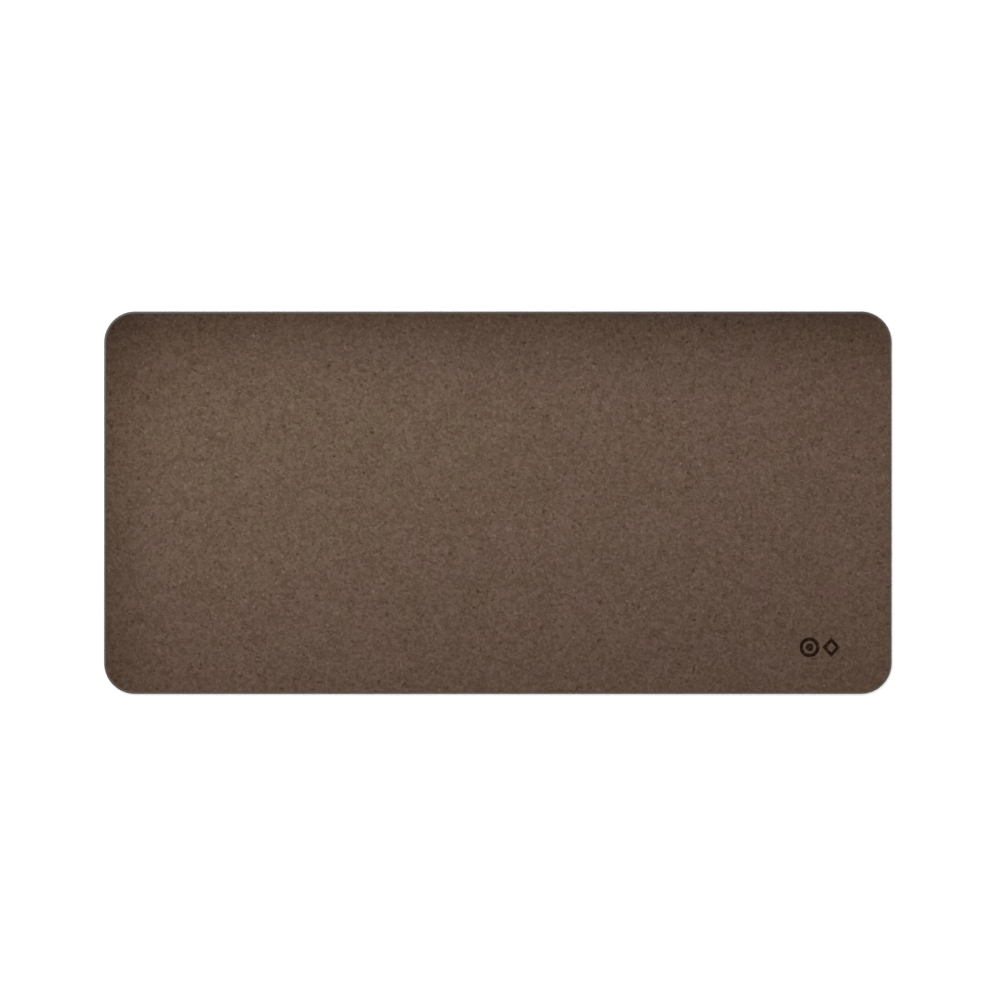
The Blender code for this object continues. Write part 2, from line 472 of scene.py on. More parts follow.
def shared_effect(name, inputs, outputs):
    """Starts a node group; inputs is {name: default}, and a default of None stands for a place."""
    group = bpy.data.node_groups.new(name, "ShaderNodeTree")
    for title, default in inputs.items():
        kind = "NodeSocketVector" if default is None else "NodeSocketFloat"
        socket = group.interface.new_socket(name=title, in_out="INPUT", socket_type=kind)
        if default is not None:
            socket.default_value = default
    for title in outputs:
        group.interface.new_socket(name=title, in_out="OUTPUT", socket_type="NodeSocketFloat")
    tree = Tree(group)
    return group, tree, tree.node("NodeGroupInput").outputs


def close_effect(group, tree, **results):
    end = tree.node("NodeGroupOutput")
    for name, value in results.items():
        tree.feed(end.inputs[name], value)
    return group


NOISE_MEAN = (0.5, 0.5, 0.5)


def granules_effect():
    """Pressed cork crumbs: a tone for each crumb, the seams between them, and their height."""
    wander_scale, lowest_crumb = 0.8, 0.5
    group, tree, given = shared_effect(
        "Granules", {"Place": None, "Size": 0.002, "Wander": 0.4, "Seam": 0.12},
        ["Tone", "Body", "Height"])
    scaled = tree.scaled(given["Place"], tree.math("DIVIDE", 1.0, given["Size"]))
    wander = tree.vector("SUBTRACT", tree.noise(scaled, wander_scale, output="Color"), NOISE_MEAN)
    moved = tree.vector("ADD", scaled, tree.scaled(wander, given["Wander"]))
    crumb = tree.voronoi(moved, "F1", "Color")
    border = tree.voronoi(moved, "DISTANCE_TO_EDGE", "Distance")
    body = tree.spread(border, 0.0, given["Seam"], smooth=True)
    lift = tree.math("MULTIPLY_ADD", tree.part(crumb, 1), 1.0 - lowest_crumb, lowest_crumb)
    return close_effect(
        group, tree, Tone=tree.part(crumb, 0), Body=body, Height=tree.math("MULTIPLY", body, lift))


def flecks_effect():
    """Scattered flecks, each in a cell of its own: some cells hold one, and each has its own size."""
    wander_scale, wander_reach = 2.2, 0.45
    smallest, largest = 0.55, 1.3  # shares of Size
    full, gone = 0.75, 1.1  # shares of a fleck's reach between which it fades
    group, tree, given = shared_effect(
        "Flecks", {"Place": None, "Spacing": 0.004, "Stretch": 1.5, "Turn": 0.0, "Share": 0.2, "Size": 0.4},
        ["Mask"])
    turned = tree.node(
        "ShaderNodeVectorRotate", {"Vector": given["Place"], "Angle": given["Turn"]},
        rotation_type="Z_AXIS").outputs[0]
    squeeze = tree.node(
        "ShaderNodeCombineXYZ", {"X": tree.math("DIVIDE", 1.0, given["Stretch"]), "Y": 1.0, "Z": 1.0})
    narrowed = tree.vector("MULTIPLY", turned, squeeze.outputs[0])
    scaled = tree.scaled(narrowed, tree.math("DIVIDE", 1.0, given["Spacing"]))
    wander = tree.vector("SUBTRACT", tree.noise(scaled, wander_scale, output="Color"), NOISE_MEAN)
    moved = tree.vector("ADD", scaled, tree.scaled(wander, wander_reach))
    cell = tree.voronoi(moved, "F1", "Color")
    distance = tree.voronoi(moved, "F1", "Distance")
    present = tree.math("LESS_THAN", tree.part(cell, 0), given["Share"])
    reach = tree.math("MULTIPLY", given["Size"], tree.spread(tree.part(cell, 1), 0.0, 1.0, smallest, largest))
    body = tree.spread(tree.math("DIVIDE", distance, reach), full, gone, 1.0, 0.0, smooth=True)
    return close_effect(group, tree, Mask=tree.math("MULTIPLY", present, body))


def mottle_effect():
    """A slow change of tone at two scales, from -1 to 1."""
    darkest, lightest = 0.25, 0.75
    group, tree, given = shared_effect(
        "Mottle", {"Place": None, "Size": 0.03, "Fine Size": 0.006, "Fine Share": 0.35}, ["Tone"])
    slow = tree.noise(tree.scaled(given["Place"], tree.math("DIVIDE", 1.0, given["Size"])), 1.0, 3.0)
    fine = tree.noise(tree.scaled(given["Place"], tree.math("DIVIDE", 1.0, given["Fine Size"])), 1.0, 2.0)
    both = tree.math("MULTIPLY_ADD", tree.math("SUBTRACT", fine, 0.5), given["Fine Share"], slow)
    return close_effect(group, tree, Tone=tree.spread(both, darkest, lightest, -1.0, 1.0))


def painted_edge_shade_effect():
    """Painted shade towards the sides and corners: 1 in the middle, less the nearer to an edge."""
    inputs = {"Place": None, "Half Length": 0.35, "Half Depth": 0.17, "Corner Reach": 0.1}
    for side in ("Back", "Left", "Front", "Right"):
        inputs[side] = 0.3
        inputs[side + " Reach"] = 0.1
    for corner in ("Back Left", "Back Right", "Front Left", "Front Right"):
        inputs[corner] = 0.1
    group, tree, given = shared_effect("Painted edge shade", inputs, ["Tone"])
    x, y = tree.part(given["Place"], 0), tree.part(given["Place"], 1)
    distances = {
        "Back": tree.math("SUBTRACT", given["Half Depth"], y),
        "Left": tree.math("ADD", given["Half Length"], x),
        "Front": tree.math("ADD", given["Half Depth"], y),
        "Right": tree.math("SUBTRACT", given["Half Length"], x),
    }

    def left_over(distance, reach, strength):
        near = tree.math("SUBTRACT", 1.0, tree.math("DIVIDE", distance, reach), clamp=True)
        fall = tree.math("MULTIPLY", strength, tree.math("MULTIPLY", near, near))
        return tree.math("SUBTRACT", 1.0, fall)

    tone = 1.0
    for side, distance in distances.items():
        tone = tree.math("MULTIPLY", tone, left_over(distance, given[side + " Reach"], given[side]))
    for along in ("Back", "Front"):
        for across in ("Left", "Right"):
            offset = tree.node("ShaderNodeCombineXYZ", {"X": distances[across], "Y": distances[along]})
            distance = tree.node("ShaderNodeVectorMath", {0: offset.outputs[0]}, operation="LENGTH")
            remains = left_over(distance.outputs["Value"], given["Corner Reach"], given[f"{along} {across}"])
            tone = tree.math("MULTIPLY", tone, remains)
    return close_effect(group, tree, Tone=tone)


def weave_effect():
    """A plain weave: the height of the yarns, and which of the two sets lies on top."""
    lowest_yarn = 0.4
    group, tree, given = shared_effect("Plain weave", {"Place": None, "Pitch": 0.0006}, ["Height", "Warp"])
    cells = tree.scaled(given["Place"], tree.math("DIVIDE", 1.0, given["Pitch"]))
    across, along = tree.part(cells, 0), tree.part(cells, 1)
    arch = [
        tree.math("SINE", tree.math("MULTIPLY", tree.math("FRACT", value), math.pi))
        for value in (across, along)
    ]
    squares = tree.math("ADD", tree.math("FLOOR", across), tree.math("FLOOR", along))
    over = tree.math("FLOORED_MODULO", squares, 2.0)
    under = tree.math("SUBTRACT", 1.0, over)
    heights = []
    for own, other, shown in ((arch[0], arch[1], over), (arch[1], arch[0], under)):
        rise = tree.math("MULTIPLY_ADD", tree.math("MULTIPLY", other, shown), 1.0 - lowest_yarn, lowest_yarn)
        heights.append(tree.math("MULTIPLY", own, rise))
    return close_effect(
        group, tree, Height=tree.math("MAXIMUM", *heights), Warp=tree.math("GREATER_THAN", *heights))


def level_effect():
    """How far up a place lies between two heights, from 0 to 1, with a ragged limit."""
    group, tree, given = shared_effect(
        "Level", {"Place": None, "Low": 0.0, "High": 0.001, "Ragged": 0.3, "Grain": 0.002}, ["Level"])
    height = tree.part(given["Place"], 2)
    rise = tree.math("SUBTRACT", given["High"], given["Low"])
    level = tree.math("DIVIDE", tree.math("SUBTRACT", height, given["Low"]), rise)
    rough = tree.noise(tree.scaled(given["Place"], tree.math("DIVIDE", 1.0, given["Grain"])), 1.0, 3.0)
    ragged = tree.math("MULTIPLY", tree.math("SUBTRACT", rough, 0.5), given["Ragged"])
    return close_effect(group, tree, Level=tree.math("ADD", level, ragged, clamp=True))


class Effects:
    """The shared effects, each built once and kept in the file by name."""

    makers = {
        "Granules": granules_effect,
        "Flecks": flecks_effect,
        "Mottle": mottle_effect,
        "Painted edge shade": painted_edge_shade_effect,
        "Plain weave": weave_effect,
        "Level": level_effect,
    }

    def __getitem__(self, name):
        return bpy.data.node_groups.get(name) or self.makers[name]()


EFFECTS = Effects()


class Finish:
    """A material being made: its node tree, its Principled shader, and places on the piece."""

    def __init__(self, name, specular, sheen=0.0):
        self.material = bpy.data.materials.new(name)
        self.material.use_nodes = True
        self.material.node_tree.nodes.clear()
        self.tree = Tree(self.material.node_tree)
        self.shader = self.tree.node("ShaderNodeBsdfPrincipled")
        self.shader.inputs["Specular IOR Level"].default_value = specular
        self.shader.inputs["Sheen Weight"].default_value = sheen
        self.tree.node("ShaderNodeOutputMaterial", {"Surface": self.shader.outputs[0]})
        self.place = self.tree.node("ShaderNodeTexCoord").outputs["Object"]

    def effect(self, name, place=None, **inputs):
        return self.tree.place(EFFECTS[name], Place=place or self.place, **inputs)

    def turned(self, angle, shift=(0.0, 0.0, 0.0)):
        """The piece's places, turned about Z and moved, so that one pattern doesn't line up with another."""
        made = self.tree.node(
            "ShaderNodeMapping", {"Vector": self.place, "Rotation": (0.0, 0.0, angle), "Location": shift})
        return made.outputs[0]

    def set(self, **inputs):
        for name, value in inputs.items():
            self.tree.feed(self.shader.inputs[name.replace("_", " ")], value)
        return self.material


def rgba(colour, share=1.0):
    return (*(channel * share for channel in colour), 1.0)


# ---------------------------------------------------------------- finishes

GRAIN_SPAN = 0.7
GRAIN_PULL = (0.84, 1.0, 1.16)  # how far the grain pulls red, green and blue
# turn, spacing, stretch, share of cells, size in cells, strength: dark specks and then light ones
SPECKS = (
    (0.4, 0.0036, 2.0, 0.34, 0.24, -0.30),
    (2.1, 0.0050, 1.5, 0.30, 0.24, -0.30),
    (1.2, 0.0040, 1.6, 0.32, 0.24, 0.36),
)
# how strongly the painted shade darkens the face towards each side and corner, and how far in that reaches;
# these values aren't designed: they come from a least-squares fit, and mainly the corners' were changed
# afterwards
PAINTED_EDGE_SHADE = {
    "Back": 0.530, "Back_Reach": 0.096, "Left": 0.360, "Left_Reach": 0.078,
    "Front": 0.250, "Front_Reach": 0.243, "Right": 0.137, "Right_Reach": 0.80,
    "Back_Left": 0.325, "Back_Right": 0.130, "Front_Left": 0.110, "Front_Right": 0.02, "Corner_Reach": 0.20,
}
# how far the hue shifts with the painted shade near the sides: its tint at the limit, and the same effect's
# values
SHADE_TINT_SPAN = 0.16
PAINTED_SHADE_TINTS = (
    ((1.055, 1.0, 1.045), {
        "Back": 0.17, "Back_Reach": 0.11, "Left": 0.060, "Left_Reach": 0.09,
        "Front": 0.22, "Front_Reach": 0.24, "Right": 0.19, "Right_Reach": 0.50,
        "Back_Left": 0.0, "Back_Right": 0.0, "Front_Left": 0.0, "Front_Right": 0.0, "Corner_Reach": 0.20,
    }),
    ((1.06, 1.0, 0.90), {
        "Back": 0.16, "Back_Reach": 0.05, "Left": 0.10, "Left_Reach": 0.05,
        "Front": 0.03, "Front_Reach": 0.08, "Right": 0.0, "Right_Reach": 0.10,
        "Back_Left": 0.18, "Back_Right": 0.11, "Front_Left": 0.06, "Front_Right": 0.09, "Corner_Reach": 0.20,
    }),
)
WHITE = (1.0, 1.0, 1.0)
YELLOWER, REDDER = (0.974, 1.0, 0.955), (1.026, 1.0, 1.045)  # the tints that the dye's hue wanders between


def cork_finish(cork):
    """Fine cork crumbs bound and dyed brown, with painted shade that darkens them towards the edges and
    corners.

    Light crumbs are greyer than the mean colour and dark ones are browner, so the grain runs between
    a dark and a light dye, from -1 to 1.
    """
    fine_size, fine_share = 0.55, 0.7  # of the finer crumbs, against the larger ones
    usual_body, seam_share = 0.85, 0.25
    slow_share = 0.05
    finish = Finish("dyed_cork", specular=0.06)
    tree = finish.tree
    coarse = finish.effect("Granules", Size=cork.granule, Wander=0.8, Seam=0.16)
    fine = finish.effect(
        "Granules", finish.turned(0.7), Size=cork.granule * fine_size, Wander=0.7, Seam=0.2)
    slow = finish.effect("Mottle", Size=0.045, Fine_Size=0.009, Fine_Share=0.6)

    grain = tree.math("SUBTRACT", coarse["Tone"], 0.5)
    grain = tree.math("MULTIPLY_ADD", tree.math("SUBTRACT", fine["Tone"], 0.5), fine_share, grain)
    grain = tree.math("MULTIPLY_ADD", tree.math("SUBTRACT", coarse["Body"], usual_body), seam_share, grain)
    grain = tree.math("MULTIPLY", grain, cork.contrast)
    for turn, spacing, stretch, share, size, strength in SPECKS:
        specks = finish.effect("Flecks", Turn=turn, Spacing=spacing, Stretch=stretch, Share=share, Size=size)
        grain = tree.math("MULTIPLY_ADD", specks["Mask"], strength, grain)
    grain = tree.math("MULTIPLY_ADD", slow["Tone"], slow_share, grain)

    dye = [tuple(channel * (1 + side * pull * GRAIN_SPAN) for channel, pull in zip(cork.colour, GRAIN_PULL))
           for side in (-1, 1)]
    base = tree.mix(tree.spread(grain, -GRAIN_SPAN, GRAIN_SPAN), rgba(dye[0]), rgba(dye[1]))

    size = {"Half_Length": HALF_LENGTH, "Half_Depth": HALF_DEPTH}
    # painted shade: darkens the cork towards its sides and corners, and broadly towards the front and right
    base = tree.tint(base, finish.effect("Painted edge shade", **size, **PAINTED_EDGE_SHADE)["Tone"])
    # the hue shift that goes with the painted shade near the sides
    for limit, sides in PAINTED_SHADE_TINTS:
        plain = tree.spread(finish.effect("Painted edge shade", **size, **sides)["Tone"], 1.0 - SHADE_TINT_SPAN, 1.0)
        base = tree.tint(base, tree.mix(plain, rgba(limit), rgba(WHITE)))
    hue = finish.effect(
        "Mottle", finish.turned(1.1, (0.3, 0.2, 0.0)), Size=0.035, Fine_Size=0.010, Fine_Share=0.8)
    base = tree.tint(base, tree.mix(tree.spread(hue["Tone"], -1.0, 1.0), rgba(YELLOWER), rgba(REDDER)))

    fine_height, pore_height = 0.5, 0.5
    mean_rough, rough_fall = 0.74, -0.15
    height = tree.math("MULTIPLY_ADD", fine["Height"], fine_height, coarse["Height"])
    pores = tree.noise(finish.place, scale=2600.0, detail=3.0)
    height = tree.math("MULTIPLY_ADD", pores, pore_height, height)
    rough = tree.math("MULTIPLY_ADD", grain, rough_fall, mean_rough)
    relief = tree.bump(height, distance=0.00005, strength=0.7)
    return finish.set(Base_Color=base, Roughness=rough, Normal=relief)


def foil_finish(mark, cork):
    """Dark pigment foil pressed into the cork, thin enough for the crumbs to break through."""
    finish = Finish("pigment_foil", specular=0.03)
    tree = finish.tree
    crumbs = finish.effect("Granules", Size=cork.granule * 0.6, Wander=0.8, Seam=0.2)
    cloud = finish.effect("Mottle", Size=0.004, Fine_Size=0.0012, Fine_Share=0.5)["Tone"]
    worn = tree.math("MULTIPLY", tree.spread(crumbs["Tone"], 0.55, 1.0), tree.spread(cloud, -0.9, 0.6))
    base = tree.tint(rgba(mark.colour), tree.spread(cloud, -1.0, 1.0, 0.7, 1.5))
    base = tree.mix(tree.math("MULTIPLY", worn, 0.6), base, rgba(cork.colour, 0.55))
    rough = tree.spread(crumbs["Height"], 0.0, 1.0, 0.62, 0.48)
    relief = tree.bump(crumbs["Height"], distance=0.00002, strength=0.6)
    return finish.set(Base_Color=base, Roughness=rough, Normal=relief)


def bead_finish(bead):
    """A brushed-on flexible coat: satin, slightly uneven, darker towards the bottom and polished on its outer
    side.
    """
    finish = Finish("edge_coat", specular=0.4)
    tree = finish.tree
    flow = finish.effect("Mottle", Size=0.018, Fine_Size=0.0022, Fine_Share=0.7)["Tone"]
    pits = finish.effect("Flecks", Spacing=0.0022, Stretch=1.0, Share=0.25, Size=0.16)["Mask"]
    raised = finish.effect(
        "Level", Low=BEAD_LOW.z, High=BEAD_HIGH.z, Ragged=0.5, Grain=0.003)["Level"]
    base = tree.tint(rgba(bead.colour), tree.spread(flow, -1.0, 1.0, 0.84, 1.16))
    base = tree.tint(base, tree.spread(raised, 0.0, 0.6, 0.72, 1.0))
    base = tree.mix(tree.math("MULTIPLY", pits, 0.6), base, rgba(bead.colour, 0.35))
    rough = tree.math("ADD", tree.spread(flow, -1.0, 1.0, 0.32, 0.44), tree.math("MULTIPLY", pits, 0.2))
    brushed = tree.noise(finish.place, scale=700.0, detail=3.0)
    height = tree.math("SUBTRACT", brushed, tree.math("MULTIPLY", pits, 0.8))
    relief = tree.bump(height, distance=0.00006, strength=0.8)
    return finish.set(Base_Color=base, Roughness=rough, Normal=relief)


def cloth_finish(cloth):
    """Undyed plain-weave backing cloth, with slubs in its yarn and painted shade between the yarns."""
    finish = Finish("backing_cloth", specular=0.2, sheen=0.15)
    tree = finish.tree
    weave = finish.effect("Plain weave", Pitch=cloth.yarn_pitch)
    slow = finish.effect("Mottle", Size=0.03, Fine_Size=0.004, Fine_Share=0.5)["Tone"]
    slubs = finish.effect("Flecks", Spacing=0.012, Stretch=6.0, Share=0.3, Size=0.12)["Mask"]
    yarn = tree.mix(weave["Warp"], rgba(cloth.colour), rgba(cloth.colour, 0.86))
    # painted shade in the hollows between the yarns and painted light on their crowns
    yarn = tree.tint(yarn, tree.spread(weave["Height"], 0.0, 0.8, 0.45, 1.1))
    yarn = tree.tint(yarn, tree.spread(slow, -1.0, 1.0, 0.92, 1.08))
    yarn = tree.mix(tree.math("MULTIPLY", slubs, 0.5), yarn, rgba(cloth.colour, 1.3))
    fuzz = tree.noise(finish.place, scale=9000.0, detail=2.0)
    height = tree.math("ADD", weave["Height"], tree.math("MULTIPLY", fuzz, 0.25))
    return finish.set(
        Base_Color=yarn, Roughness=tree.spread(fuzz, 0.3, 0.7, 0.86, 0.96),
        Normal=tree.bump(height, distance=0.00012, strength=0.9))


def film_finish(cloth):
    """Hot-melt bond film: a cloudy film with the strands of the web it was melted from."""
    finish = Finish("bond_film", specular=0.4)
    tree = finish.tree
    web = finish.effect("Granules", Size=0.0035, Wander=1.6, Seam=0.10)
    cloud = finish.effect("Mottle", Size=0.012, Fine_Size=0.002, Fine_Share=0.5)["Tone"]
    strand = tree.math("SUBTRACT", 1.0, web["Body"])
    base = tree.tint(rgba(cloth.film_colour), tree.spread(cloud, -1.0, 1.0, 0.82, 1.0))
    base = tree.mix(tree.math("MULTIPLY", strand, 0.7), base, rgba(cloth.film_colour, 1.25))
    rough = tree.math("MULTIPLY_ADD", strand, -0.12, tree.spread(cloud, -1.0, 1.0, 0.40, 0.55))
    relief = tree.bump(strand, distance=0.00004, strength=0.8)
    return finish.set(Base_Color=base, Roughness=rough, Normal=relief)


def rubber_finish(grip):
    """Natural rubber: matt and stippled, with dust in its grooves and pads rubbed smooth."""
    finish = Finish("grip_rubber", specular=0.35)
    tree = finish.tree
    level = finish.effect(
        "Level", Low=RUBBER_LOW.z, High=RUBBER_LOW.z + grip.pad_height, Ragged=0.35, Grain=0.0012)["Level"]
    cloud = finish.effect("Mottle", Size=0.05, Fine_Size=0.003, Fine_Share=0.6)["Tone"]
    lint = finish.effect("Flecks", Turn=0.9, Spacing=0.004, Stretch=5.0, Share=0.10, Size=0.09)["Mask"]
    base = tree.tint(rgba(grip.colour), tree.spread(cloud, -1.0, 1.0, 0.85, 1.2))
    settled = tree.spread(cloud, -1.0, 1.0, 0.25, 0.7)
    dust = tree.math("MULTIPLY", tree.math("MULTIPLY", level, level), settled)
    base = tree.mix(tree.math("MULTIPLY", dust, 0.4), base, rgba((0.11, 0.10, 0.09)))
    base = tree.mix(tree.math("MULTIPLY", lint, 0.3), base, rgba((0.16, 0.145, 0.13)))
    rough = tree.spread(level, 0.0, 1.0, 0.55, 0.86)
    stipple = tree.noise(finish.place, scale=3200.0, detail=3.0)
    relief = tree.bump(stipple, distance=0.00003, strength=0.7)
    return finish.set(Base_Color=base, Roughness=rough, Normal=relief)


def floor_finish(studio):
    """Plain pale board, with a barely visible cloudiness."""
    finish = Finish("pale_floor", specular=0.0)
    tree = finish.tree
    cloud = finish.effect("Mottle", Size=0.35, Fine_Size=0.05, Fine_Share=0.3)["Tone"]
    base = tree.tint(rgba(studio.floor_colour), tree.spread(cloud, -1.0, 1.0, 0.99, 1.0))
    return finish.set(Base_Color=base, Roughness=tree.spread(cloud, -1.0, 1.0, 0.85, 0.95))


# ---------------------------------------------------------------- pieces


def sharp_rim(edge):
    """True for an edge between a level face on top and an upright one."""
    normals = sorted(abs(face.normal.z) for face in edge.link_faces)
    tops = [face.normal.z for face in edge.link_faces]
    return len(normals) == 2 and normals[0] < UPRIGHT and max(tops) > LEVEL


def figure_solid(name, node, grow, low, high, tip_round):
    """A figure of the mark as a solid between two heights, its sides moved outwards by grow."""
    centre = centre_of(node)
    inner, outer = reach_along_x(node)
    node_low, node_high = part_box(node)
    half_height = (node_high.y - node_low.y) / 2
    pointed = node == "mark_lozenge"
    slant = math.hypot(outer, half_height)
    lean = half_height / slant if pointed else 1.0
    width = outer + grow / lean
    height = half_height + (grow * slant / outer if pointed else grow)
    solid = add(
        bpy.ops.mesh.primitive_circle_add, name, vertices=4 if pointed else CIRCLE_STEPS, radius=1.0,
        fill_type="NGON", location=(0.0, 0.0, 0.0))
    bpy.ops.transform.resize(value=(width, height, 1.0))
    bpy.ops.transform.translate(value=(centre.x, centre.y, low))
    if outer - inner > TINY:
        ring_cut((outer - inner) * lean + 2 * grow)
    raise_by(high - low)
    face_outwards()
    if pointed and tip_round:
        pick("EDGE", lambda edge: abs(edge.verts[0].co.z - edge.verts[1].co.z) > TINY)
        bpy.ops.mesh.bevel(offset=tip_round, segments=TIP_STEPS, affect="EDGES")
    leave_edit()
    return solid


MARK_NODES = ("mark_ring", "mark_dot", "mark_lozenge")


def build_cork_sheet(cork, mark):
    sheet = rounded_plate(
        "cork_sheet", CORK_HIGH.x, CORK_HIGH.y, LAYER_RADIUS, CORK_LOW.z, CORK_HIGH.z)
    pick("EDGE", sharp_rim)
    bpy.ops.mesh.bevel(offset=cork.ease, segments=RIM_STEPS, affect="EDGES")
    leave_edit()
    for node in MARK_NODES:
        foil_low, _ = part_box(node)
        cutter = figure_solid(
            "pocket_cutter", node, mark.clearance, foil_low.z - mark.clearance, 2 * CORK_HIGH.z,
            mark.tip_round)
        combine(sheet, cutter, "DIFFERENCE")
    only(sheet)
    bpy.ops.object.mode_set(mode="EDIT")
    pick("EDGE", sharp_rim)
    bpy.ops.mesh.bevel(offset=mark.shoulder, segments=RIM_STEPS, affect="EDGES")
    top = CORK_HIGH.z - mark.shoulder
    pick("FACE", lambda face: face.calc_center_median().z < top)
    bpy.ops.mesh.hide()
    slice_across(0, grid_lines(CORK_LOW.x, CORK_HIGH.x, cork.relief_pitch))
    slice_across(1, grid_lines(CORK_LOW.y, CORK_HIGH.y, cork.relief_pitch))
    bpy.ops.mesh.reveal()
    leave_edit()
    ripple(sheet, "cork_unevenness", cork.relief, RELIEF_WAVE, "Z", lambda point: point.z > top)
    finish_piece(sheet, "cork_face", cork_finish(cork))


def build_mark_foils(mark, cork):
    finish = foil_finish(mark, cork)
    for node in MARK_NODES:
        low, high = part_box(node)
        foil = figure_solid(node.replace("mark", "foil"), node, 0.0, low.z, high.z, mark.tip_round)
        only(foil)
        bpy.ops.object.mode_set(mode="EDIT")
        pick("EDGE", sharp_rim)
        ease = (high.z - low.z) * FOIL_EASE_SHARE
        bpy.ops.mesh.bevel(offset=ease, segments=FOIL_RIM_STEPS, affect="EDGES")
        leave_edit()
        finish_piece(foil, node, finish)


def build_edge_bead(bead):
    """The flexible coat round the cut edge: a rounded bead with a small lip against the cork."""
    coat = add(bpy.ops.mesh.primitive_plane_add, "edge_bead", size=2.0, location=(0.0, 0.0, BEAD_LOW.z))
    bpy.ops.transform.resize(value=(HALF_LENGTH, HALF_DEPTH, 1.0))
    bpy.ops.mesh.bevel(offset=OUTER_RADIUS, segments=CORNER_STEPS, affect="VERTICES")
    bpy.ops.mesh.select_all(action="SELECT")
    ring_cut(HALF_LENGTH - CORK_HIGH.x - SNUG)
    raise_by(BEAD_HIGH.z - BEAD_LOW.z)
    face_outwards()

    def outer(point):
        return is_outside(point, CORK_HIGH.x + BEAD_MARGIN, CORK_HIGH.y + BEAD_MARGIN, LAYER_RADIUS)

    pick("EDGE", lambda edge: abs(edge.verts[0].co.z - edge.verts[1].co.z) < TINY
         and all(outer(vertex.co) for vertex in edge.verts))
    bpy.ops.mesh.bevel(offset=bead.rounding, segments=OUTER_STEPS, affect="EDGES")
    pick("EDGE", sharp_rim)
    bpy.ops.mesh.bevel(offset=bead.lip, segments=RIM_STEPS, affect="EDGES")
    slice_across(0, grid_lines(-HALF_LENGTH + OUTER_RADIUS, HALF_LENGTH - OUTER_RADIUS, bead.ring_pitch))
    slice_across(1, grid_lines(-HALF_DEPTH + OUTER_RADIUS, HALF_DEPTH - OUTER_RADIUS, bead.ring_pitch))
    leave_edit()
    ripple(coat, "bead_unevenness", bead.ripple, BEAD_WAVE, "NORMAL", outer)
    finish_piece(coat, "edge_seal", bead_finish(bead))


def is_outside(point, half_length, half_depth, radius):
    """True for a point outside a rounded rectangle centred on the origin."""
    over_x = max(0.0, abs(point.x) - (half_length - radius))
    over_y = max(0.0, abs(point.y) - (half_depth - radius))
    return math.hypot(over_x, over_y) > radius


def build_backing_cloth(cloth):
    backing = rounded_plate(
        "woven_backing", CLOTH_HIGH.x, CLOTH_HIGH.y, LAYER_RADIUS, CLOTH_LOW.z, CLOTH_HIGH.z)
    slice_across(0, grid_lines(CLOTH_LOW.x, CLOTH_HIGH.x, CLOTH_GRID))
    slice_across(1, grid_lines(CLOTH_LOW.y, CLOTH_HIGH.y, CLOTH_GRID))
    leave_edit()
    ripple(backing, "cloth_unevenness", CLOTH_UNEVENNESS, CLOTH_WAVE, "Z", lambda point: True)
    finish_piece(backing, "backing_cloth", cloth_finish(cloth))


def build_bond_films(cloth):
    finish = film_finish(cloth)
    for node in ("base_bond_film", "face_bond_film"):
        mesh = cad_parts[node].data
        mesh.materials.clear()
        mesh.materials.append(finish)
        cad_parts[node]


def build_grip_base(grip):
    """The rubber base: square pads on the slant, with grooves between them, cut through at the edge."""
    reach = math.cos(PAD_SLANT) * (RUBBER_HIGH.x + RUBBER_HIGH.y)
    count = math.ceil(2 * reach / grip.pitch)
    base = add(
        bpy.ops.mesh.primitive_grid_add, "grip_base", x_subdivisions=count, y_subdivisions=count,
        size=count * grip.pitch, location=(0.0, 0.0, RUBBER_LOW.z + grip.pad_height))
    bpy.ops.transform.rotate(value=PAD_SLANT, orient_axis="Z", center_override=(0.0, 0.0, 0.0))
    spare = grip.pitch
    pick("FACE", lambda face: is_outside(
        face.calc_center_median(), RUBBER_HIGH.x + spare, RUBBER_HIGH.y + spare, LAYER_RADIUS))
    bpy.ops.mesh.delete(type="FACE")
    bpy.ops.mesh.select_all(action="SELECT")
    bpy.ops.mesh.flip_normals()
    bpy.ops.mesh.inset(thickness=grip.groove / 2, use_individual=True)
    bpy.ops.mesh.inset(thickness=grip.pad_slope, depth=grip.pad_height, use_individual=True)
    pick("EDGE", lambda edge: edge.is_boundary)
    bpy.ops.mesh.extrude_region_move(TRANSFORM_OT_translate={"value": (0.0, 0.0, 2 * RUBBER_HIGH.z)})
    bpy.ops.mesh.edge_face_add()
    face_outwards()
    leave_edit()
    outline = rounded_plate(
        "base_outline", RUBBER_HIGH.x, RUBBER_HIGH.y, LAYER_RADIUS, -RUBBER_HIGH.z, RUBBER_HIGH.z)
    leave_edit()
    combine(base, outline, "INTERSECT")
    finish_piece(base, "rubber_base", rubber_finish(grip), smooth=PAD_SMOOTH_ANGLE)


# ---------------------------------------------------------------- studio


